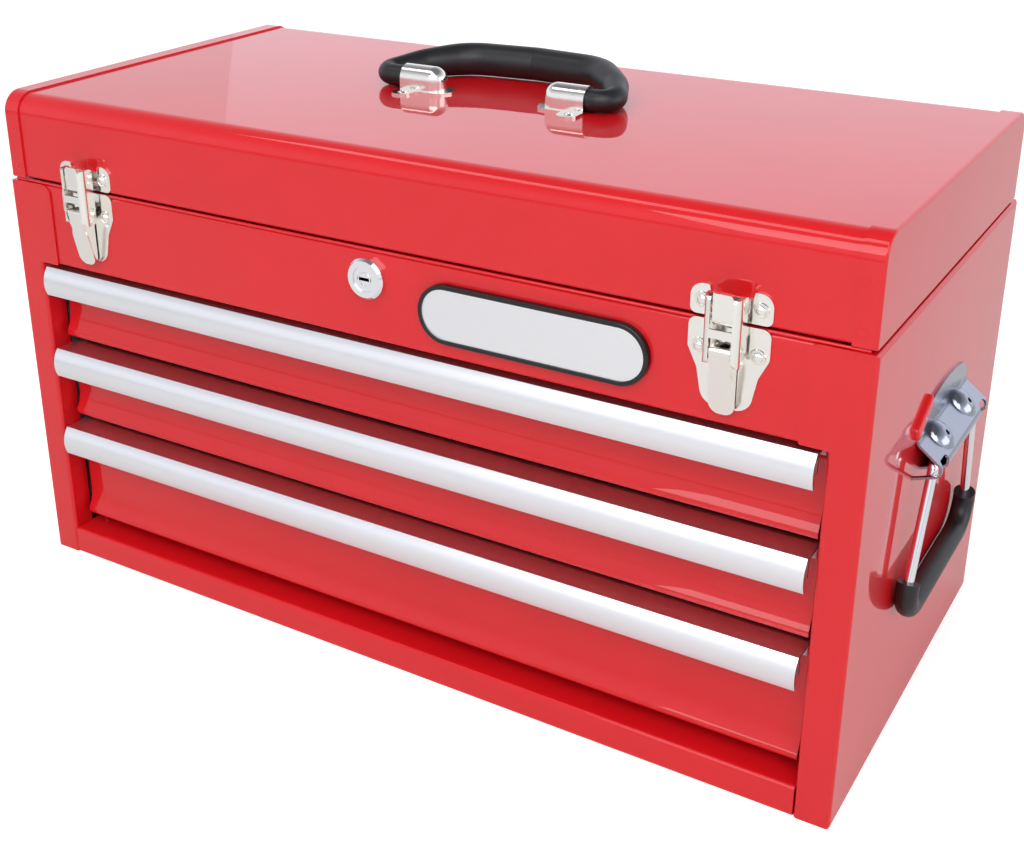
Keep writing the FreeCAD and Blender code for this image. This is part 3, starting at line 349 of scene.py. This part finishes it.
def finishFor(name):
    if name.startswith("drawer_"):
        return drawerFinish[name.split("_", 2)[2]]
    for start, finish in finishOf.items():
        if name.startswith(start):
            return finish
    raise ValueError("no finish for " + name)


for nodeName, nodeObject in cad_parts.items():
    nodeObject.data.materials.clear()
    nodeObject.data.materials.append(finishFor(nodeName))
print("finishes given")

# the small pieces are drawn in millimetres and placed in their meshes
outward = {"front": (0, -1, 0), "right": (1, 0, 0), "left": (-1, 0, 0), "up": (0, 0, 1)}
sharpDegrees = 50


def turned(profile, steps):
    # spins half of an outline, given as radius and height, into a round solid that is closed below
    first, last = profile[0], profile[-1]
    closing = (0.0, last[1]) if first[0] == 0.0 else first
    bm = bmesh.new()
    verts = [bm.verts.new((r * mm, 0, h * mm)) for r, h in (*profile, closing)]
    edges = [bm.edges.new(pair) for pair in zip(verts, verts[1:])]
    bmesh.ops.spin(bm, geom=verts + edges, cent=(0, 0, 0), axis=(0, 0, 1),
                   angle=2 * math.pi, steps=steps, use_merge=True)
    bmesh.ops.remove_doubles(bm, verts=bm.verts[:], dist=1e-7)
    bmesh.ops.recalc_face_normals(bm, faces=bm.faces[:])
    return bm


def facing(side, place):
    # carries a shape drawn along Z to its place in millimetres, facing a side of the box
    look = Vector(outward[side]).to_track_quat("Z", "Y").to_matrix().to_4x4()
    return Matrix.Translation(Vector(place) * mm) @ look


def groupPiece(name, makeShape, places, finish, body):
    # one piece of several equal shapes, each at its own place
    whole = bmesh.new()
    for place in places:
        one = makeShape()
        one.transform(place)
        carried = bpy.data.meshes.new("carried")
        one.to_mesh(carried)
        one.free()
        whole.from_mesh(carried)
        bpy.data.meshes.remove(carried)
    mesh = bpy.data.meshes.new(name)
    whole.to_mesh(mesh)
    whole.free()
    mesh.polygons.foreach_set("use_smooth", [True] * len(mesh.polygons))
    mesh.set_sharp_from_angle(angle=math.radians(sharpDegrees))
    mesh.materials.append(finish)
    piece = bpy.data.objects.new(name, mesh)
    bpy.context.scene.collection.objects.link(piece)
    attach(piece, body)
    return piece


# latch rivets: domed heads set in a pressed collar
latchRivetSet = {
    "head": ((0.0, 1.7), (1.1, 1.55), (2.0, 1.1), (2.5, 0.45), (2.6, 0.1), (2.9, 0.1), (3.2, 0.5),
             (3.6, 0.5), (3.9, 0.0)),
    "steps": 28,
    "latchX": {"right": 189.7, "left": -194.3},
    "keeper": {"half": 13.4, "y": -124.6, "z": 253.6},
    "base": {"half": 13.6, "y": -125.2, "z": 232.3},
}


def makeLatchRivets(s):
    def head():
        return turned(s["head"], s["steps"])

    for side, x in s["latchX"].items():
        for part, body in (("keeper", "lid"), ("base", "cabinet")):
            spot = s[part]
            places = [facing("front", (x + turn * spot["half"], spot["y"], spot["z"])) for turn in (-1, 1)]
            groupPiece(part + "_rivets_" + side, head, places, nickel, body)


makeLatchRivets(latchRivetSet)

# saddle rivets: low heads with four notches from the riveting punch
saddleRivetSet = {
    "head": ((0.0, 0.25), (0.6, 0.35), (1.0, 0.6), (1.7, 0.62), (2.3, 0.4), (2.6, 0.0)),
    "steps": 24,
    "notches": 4,
    "notchDepth": 0.35,
    "notchReach": (0.9, 2.0),
    "shift": -3.4,
    "half": 52.7,
    "y": 2.0,
    "earHalf": 13.6,
    "z": 295.2,
}


def makeSaddleRivets(s):
    def head():
        bm = turned(s["head"], s["steps"])
        near, far = s["notchReach"]
        for vert in bm.verts:
            reach = math.hypot(vert.co.x, vert.co.y) / mm
            turn = math.atan2(vert.co.y, vert.co.x) * s["notches"] / 2
            if near < reach < far:
                vert.co.z -= s["notchDepth"] * mm * max(0.0, math.cos(2 * turn)) ** 2
        return bm

    for side, sign in (("right", 1), ("left", -1)):
        x = s["shift"] + sign * s["half"]
        places = [facing("up", (x, s["y"] + turn * s["earHalf"], s["z"])) for turn in (-1, 1)]
        groupPiece("saddle_rivets_" + side, head, places, nickel, "lid")


makeSaddleRivets(saddleRivetSet)

# spot welds: shallow dimples that the enamel flows over, on the front flanges of the lid's caps
weldSet = {
    "dent": ((0.0, 0.06), (1.1, 0.1), (1.7, 0.26), (2.2, 0.22), (2.9, 0.0)),
    "steps": 24,
    "capX": 246.9,
    "capY": -124.4,
    "capZ": (253.0, 275.3),
}


def makeWelds(s):
    def dent():
        return turned(s["dent"], s["steps"])

    for side, sign in (("right", 1), ("left", -1)):
        places = [facing("front", (sign * s["capX"], s["capY"], z)) for z in s["capZ"]]
        groupPiece("lid_cap_welds_" + side, dent, places, enamel, "lid")


makeWelds(weldSet)

# lock face: a fine raised ring turned on the plug, round its keyway
lockFaceSet = {
    "ring": ((3.1, 0.0), (3.2, 0.22), (3.5, 0.28), (3.8, 0.22), (3.9, 0.0)),
    "steps": 48,
    "x": -2.3,
    "z": 230.0,
}


def makeLockRing(s):
    def ring():
        return turned(s["ring"], s["steps"])

    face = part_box("lock_plug")[0].y / mm
    groupPiece("lock_plug_ring", ring, [facing("front", (s["x"], face, s["z"]))], chrome,
               "lock_core")


makeLockRing(lockFaceSet)

# straps: a loop lanced out of each side sheet holds the front edge of its bracket
strapSet = {
    "long": 25.0,
    "wide": 8.0,
    "rise": 2.6,
    "bevel": 1.7,
    "segments": 4,
    "lean": 64.0,  # degrees from upright, along the bracket's round edge
    "y": -38.0,
    "z": 180.5,
    "face": 255.0,
    "mark": ((0.0, 0.5), (0.9, 0.42), (1.5, 0.0)),  # the small spot that the punch leaves on it
    "markSunk": 0.05,
    "markShift": (-1.0, -0.5),
    "steps": 16,
}


def makeStraps(s):
    def strap():
        bm = bmesh.new()
        bmesh.ops.create_cube(bm, size=1.0)
        bmesh.ops.scale(bm, vec=(s["wide"] * mm, s["long"] * mm, s["rise"] * mm), verts=bm.verts[:])
        bmesh.ops.translate(bm, vec=(0, 0, s["rise"] * mm / 2), verts=bm.verts[:])
        top = [e for e in bm.edges if all(v.co.z > 0.5 * s["rise"] * mm for v in e.verts)]
        upright = [e for e in bm.edges if abs(e.verts[0].co.z - e.verts[1].co.z) > 0.5 * s["rise"] * mm]
        bmesh.ops.bevel(bm, geom=top + upright, offset=s["bevel"] * mm, affect="EDGES",
                        segments=s["segments"], profile=0.5, material=-1)
        return bm

    for side, sign in (("right", 1), ("left", -1)):
        lean = Matrix.Rotation(math.radians(-s["lean"]), 4, "X")
        outwardTurn = Matrix.Rotation(math.radians(sign * 90), 4, "Y")
        acrossTurn = Matrix.Rotation(math.radians(90), 4, "Z")
        place = Matrix.Translation(Vector((sign * s["face"], s["y"], s["z"])) * mm)
        groupPiece("bracket_strap_" + side, strap, [place @ lean @ (outwardTurn @ acrossTurn)],
                   enamel, "cabinet")
        outX = s["face"] + s["rise"] - s["markSunk"]
        spot = (sign * outX, s["y"] + s["markShift"][0], s["z"] + s["markShift"][1])
        # the punch spot takes the brackets' metal, whose grey colour is a painted reflection
        groupPiece("strap_mark_" + side, lambda: turned(s["mark"], s["steps"]), [facing(side, spot)],
                   bracketPaintedReflectionMetal, "cabinet")


makeStraps(strapSet)

# ears: bulges pressed into the brackets' roll, between the ring's legs, each with a punched hole
earSet = {
    "bulge": ((0.0, 1.2), (1.3, 1.2), (1.4, 3.1), (2.0, 3.3), (4.0, 2.9), (6.4, 1.8), (8.3, 0.4),
              (9.1, -1.2)),
    "steps": 40,
    "x": 261.8,
    "y": 21.0,
    "z": 165.5,
    "tilt": 42.0,
}


def makeEars(s):
    def bulge():
        return turned(s["bulge"], s["steps"])

    for side, sign in (("right", 1), ("left", -1)):
        places = []
        for end in (-1, 1):
            tilt = Matrix.Rotation(math.radians(-sign * s["tilt"]), 4, "Y")
            spot = Matrix.Translation(Vector((sign * s["x"], end * s["y"], s["z"])) * mm)
            places.append(spot @ tilt @ facing(side, (0, 0, 0)))
        # the ears take the brackets' metal, whose grey colour is a painted reflection
        groupPiece("bracket_ears_" + side, bulge, places, bracketPaintedReflectionMetal, "cabinet")


makeEars(earSet)

# front hem: the rolled top edge of the front sheet, which catches the light in the gap under the lid
hemSet = {
    "radius": 0.78,
    "half": 251.0,
    "y": -123.3,
    "z": 244.75,
    "sides": 20,
    "bevel": 0.3,
}


def makeHem(s):
    def bead():
        bm = bmesh.new()
        bmesh.ops.create_cone(bm, cap_ends=True, segments=s["sides"], radius1=s["radius"] * mm,
                              radius2=s["radius"] * mm, depth=2 * s["half"] * mm)
        rims = [e for e in bm.edges if abs(e.verts[0].co.z - e.verts[1].co.z) < 1e-6]
        bmesh.ops.bevel(bm, geom=rims, offset=s["bevel"] * mm, affect="EDGES", segments=2,
                        profile=0.5, material=-1)
        return bm

    groupPiece("front_hem_bead", bead, [facing("right", (0, s["y"], s["z"]))], enamel,
               "cabinet")


makeHem(hemSet)
print("small pieces made")

# studio: a pale paper floor with soft lamps behind, above, at the right and in front
studioSet = {
    "floorSide": 14.0,
    "floorColour": "#E8E8E8",
    "floorRoughness": 0.9,
    "floorSpecular": 0.1,
    "floorLift": 0.55,  # what the camera alone sees added, so that the floor reads as white
    "roomLevel": 0.47,
    "wallColour": "#F6F7FF",
    "ceilingColour": "#77777C",
    "skyFrom": (0.35, 0.85),  # the heights between which the pale wall turns to the grey ceiling
    "lights": (
        {"name": "backWall", "place": (-0.3, 3.2, 1.1), "size": (5.0, 1.7), "power": 6, "tint": "#E8EFFF"},
        {"name": "backFill", "place": (0.3, 2.4, 1.0), "size": (2.0, 1.2), "power": 7, "tint": "#F4F8FF",
         "mirrored": False},
        {"name": "topStrip", "place": (-0.3, -0.7, 2.0), "size": (2.4, 0.4), "power": 8, "tint": "#FFFFFF"},
        {"name": "rightWall", "place": (3.0, 0.6, 0.8), "size": (2.6, 1.3), "power": 18, "tint": "#F4F8FF"},
        {"name": "frontSoftbox", "place": (0.5, -1.7, 1.5), "size": (2.6, 1.2), "power": 29,
         "tint": "#FFFFFF"},
    ),
    "aim": (0.0, 0.0, 0.14),
}


def makeFloor(s):
    bm = bmesh.new()
    bmesh.ops.create_grid(bm, x_segments=1, y_segments=1, size=s["floorSide"] / 2)
    mesh = bpy.data.meshes.new("studioFloor")
    bm.to_mesh(mesh)
    bm.free()
    floor = bpy.data.objects.new("studioFloor", mesh)
    bpy.context.scene.collection.objects.link(floor)
    made, tree, shader, place = newMaterial("paperSweep")
    shader.inputs["Base Color"].default_value = linearOf(s["floorColour"])
    shader.inputs["Roughness"].default_value = s["floorRoughness"]
    shader.inputs["Specular IOR Level"].default_value = s["floorSpecular"]
    shader.inputs["Emission Color"].default_value = (1, 1, 1, 1)
    path = addNode(tree, "ShaderNodeLightPath")
    lift = addNode(tree, "ShaderNodeMath", {"operation": "MULTIPLY"})
    tree.links.new(path.outputs["Is Camera Ray"], lift.inputs[0])
    lift.inputs[1].default_value = s["floorLift"]
    tree.links.new(lift.outputs[0], shader.inputs["Emission Strength"])
    mesh.materials.append(made)


def makeRoom(s):
    world = bpy.data.worlds.new("studioRoom")
    bpy.context.scene.world = world
    world.use_nodes = True
    tree = world.node_tree
    tree.nodes.clear()
    place = addNode(tree, "ShaderNodeTexCoord")
    parts = addNode(tree, "ShaderNodeSeparateXYZ", {}, {"Vector": place.outputs["Generated"]})
    height = addNode(tree, "ShaderNodeMapRange",
                     {"From Min": s["skyFrom"][0], "From Max": s["skyFrom"][1]},
                     {"Value": parts.outputs["Z"]})
    sky = addNode(tree, "ShaderNodeMix", {"data_type": "RGBA"}, {"Factor": height.outputs["Result"]})
    sky.inputs[6].default_value = linearOf(s["wallColour"])
    sky.inputs[7].default_value = linearOf(s["ceilingColour"])
    path = addNode(tree, "ShaderNodeLightPath")
    lit = addNode(tree, "ShaderNodeMix", {"data_type": "RGBA"}, {"Factor": path.outputs["Is Glossy Ray"]})
    lit.inputs[6].default_value = (s["roomLevel"], s["roomLevel"], s["roomLevel"], 1)
    tree.links.new(sky.outputs[2], lit.inputs[7])
    seen = addNode(tree, "ShaderNodeMath", {"operation": "MAXIMUM"})
    tree.links.new(path.outputs["Is Camera Ray"], seen.inputs[0])
    tree.links.new(path.outputs["Is Transmission Ray"], seen.inputs[1])
    shown = addNode(tree, "ShaderNodeMix", {"data_type": "RGBA"}, {"Factor": seen.outputs[0]})
    tree.links.new(lit.outputs[2], shown.inputs[6])
    shown.inputs[7].default_value = (1, 1, 1, 1)
    room = addNode(tree, "ShaderNodeBackground", {"Strength": 1.0}, {"Color": shown.outputs[2]})
    addNode(tree, "ShaderNodeOutputWorld", links={"Surface": room.outputs["Background"]})


def makeStudio(s):
    makeFloor(s)
    makeRoom(s)
    for one in s["lights"]:
        data = bpy.data.lights.new(one["name"], "AREA")
        data.shape = "RECTANGLE"
        data.size, data.size_y = one["size"]
        data.energy = one["power"]
        data.color = linearOf(one["tint"])[:3]
        lamp = bpy.data.objects.new(one["name"], data)
        bpy.context.scene.collection.objects.link(lamp)
        lamp.location = one["place"]
        lamp.visible_glossy = one.get("mirrored", True)
        lamp.rotation_euler = (Vector(s["aim"]) - lamp.location).to_track_quat("-Z", "Y").to_euler()
    bpy.context.scene.view_settings.view_transform = "Standard"


makeStudio(studioSet)
print("studio lit")
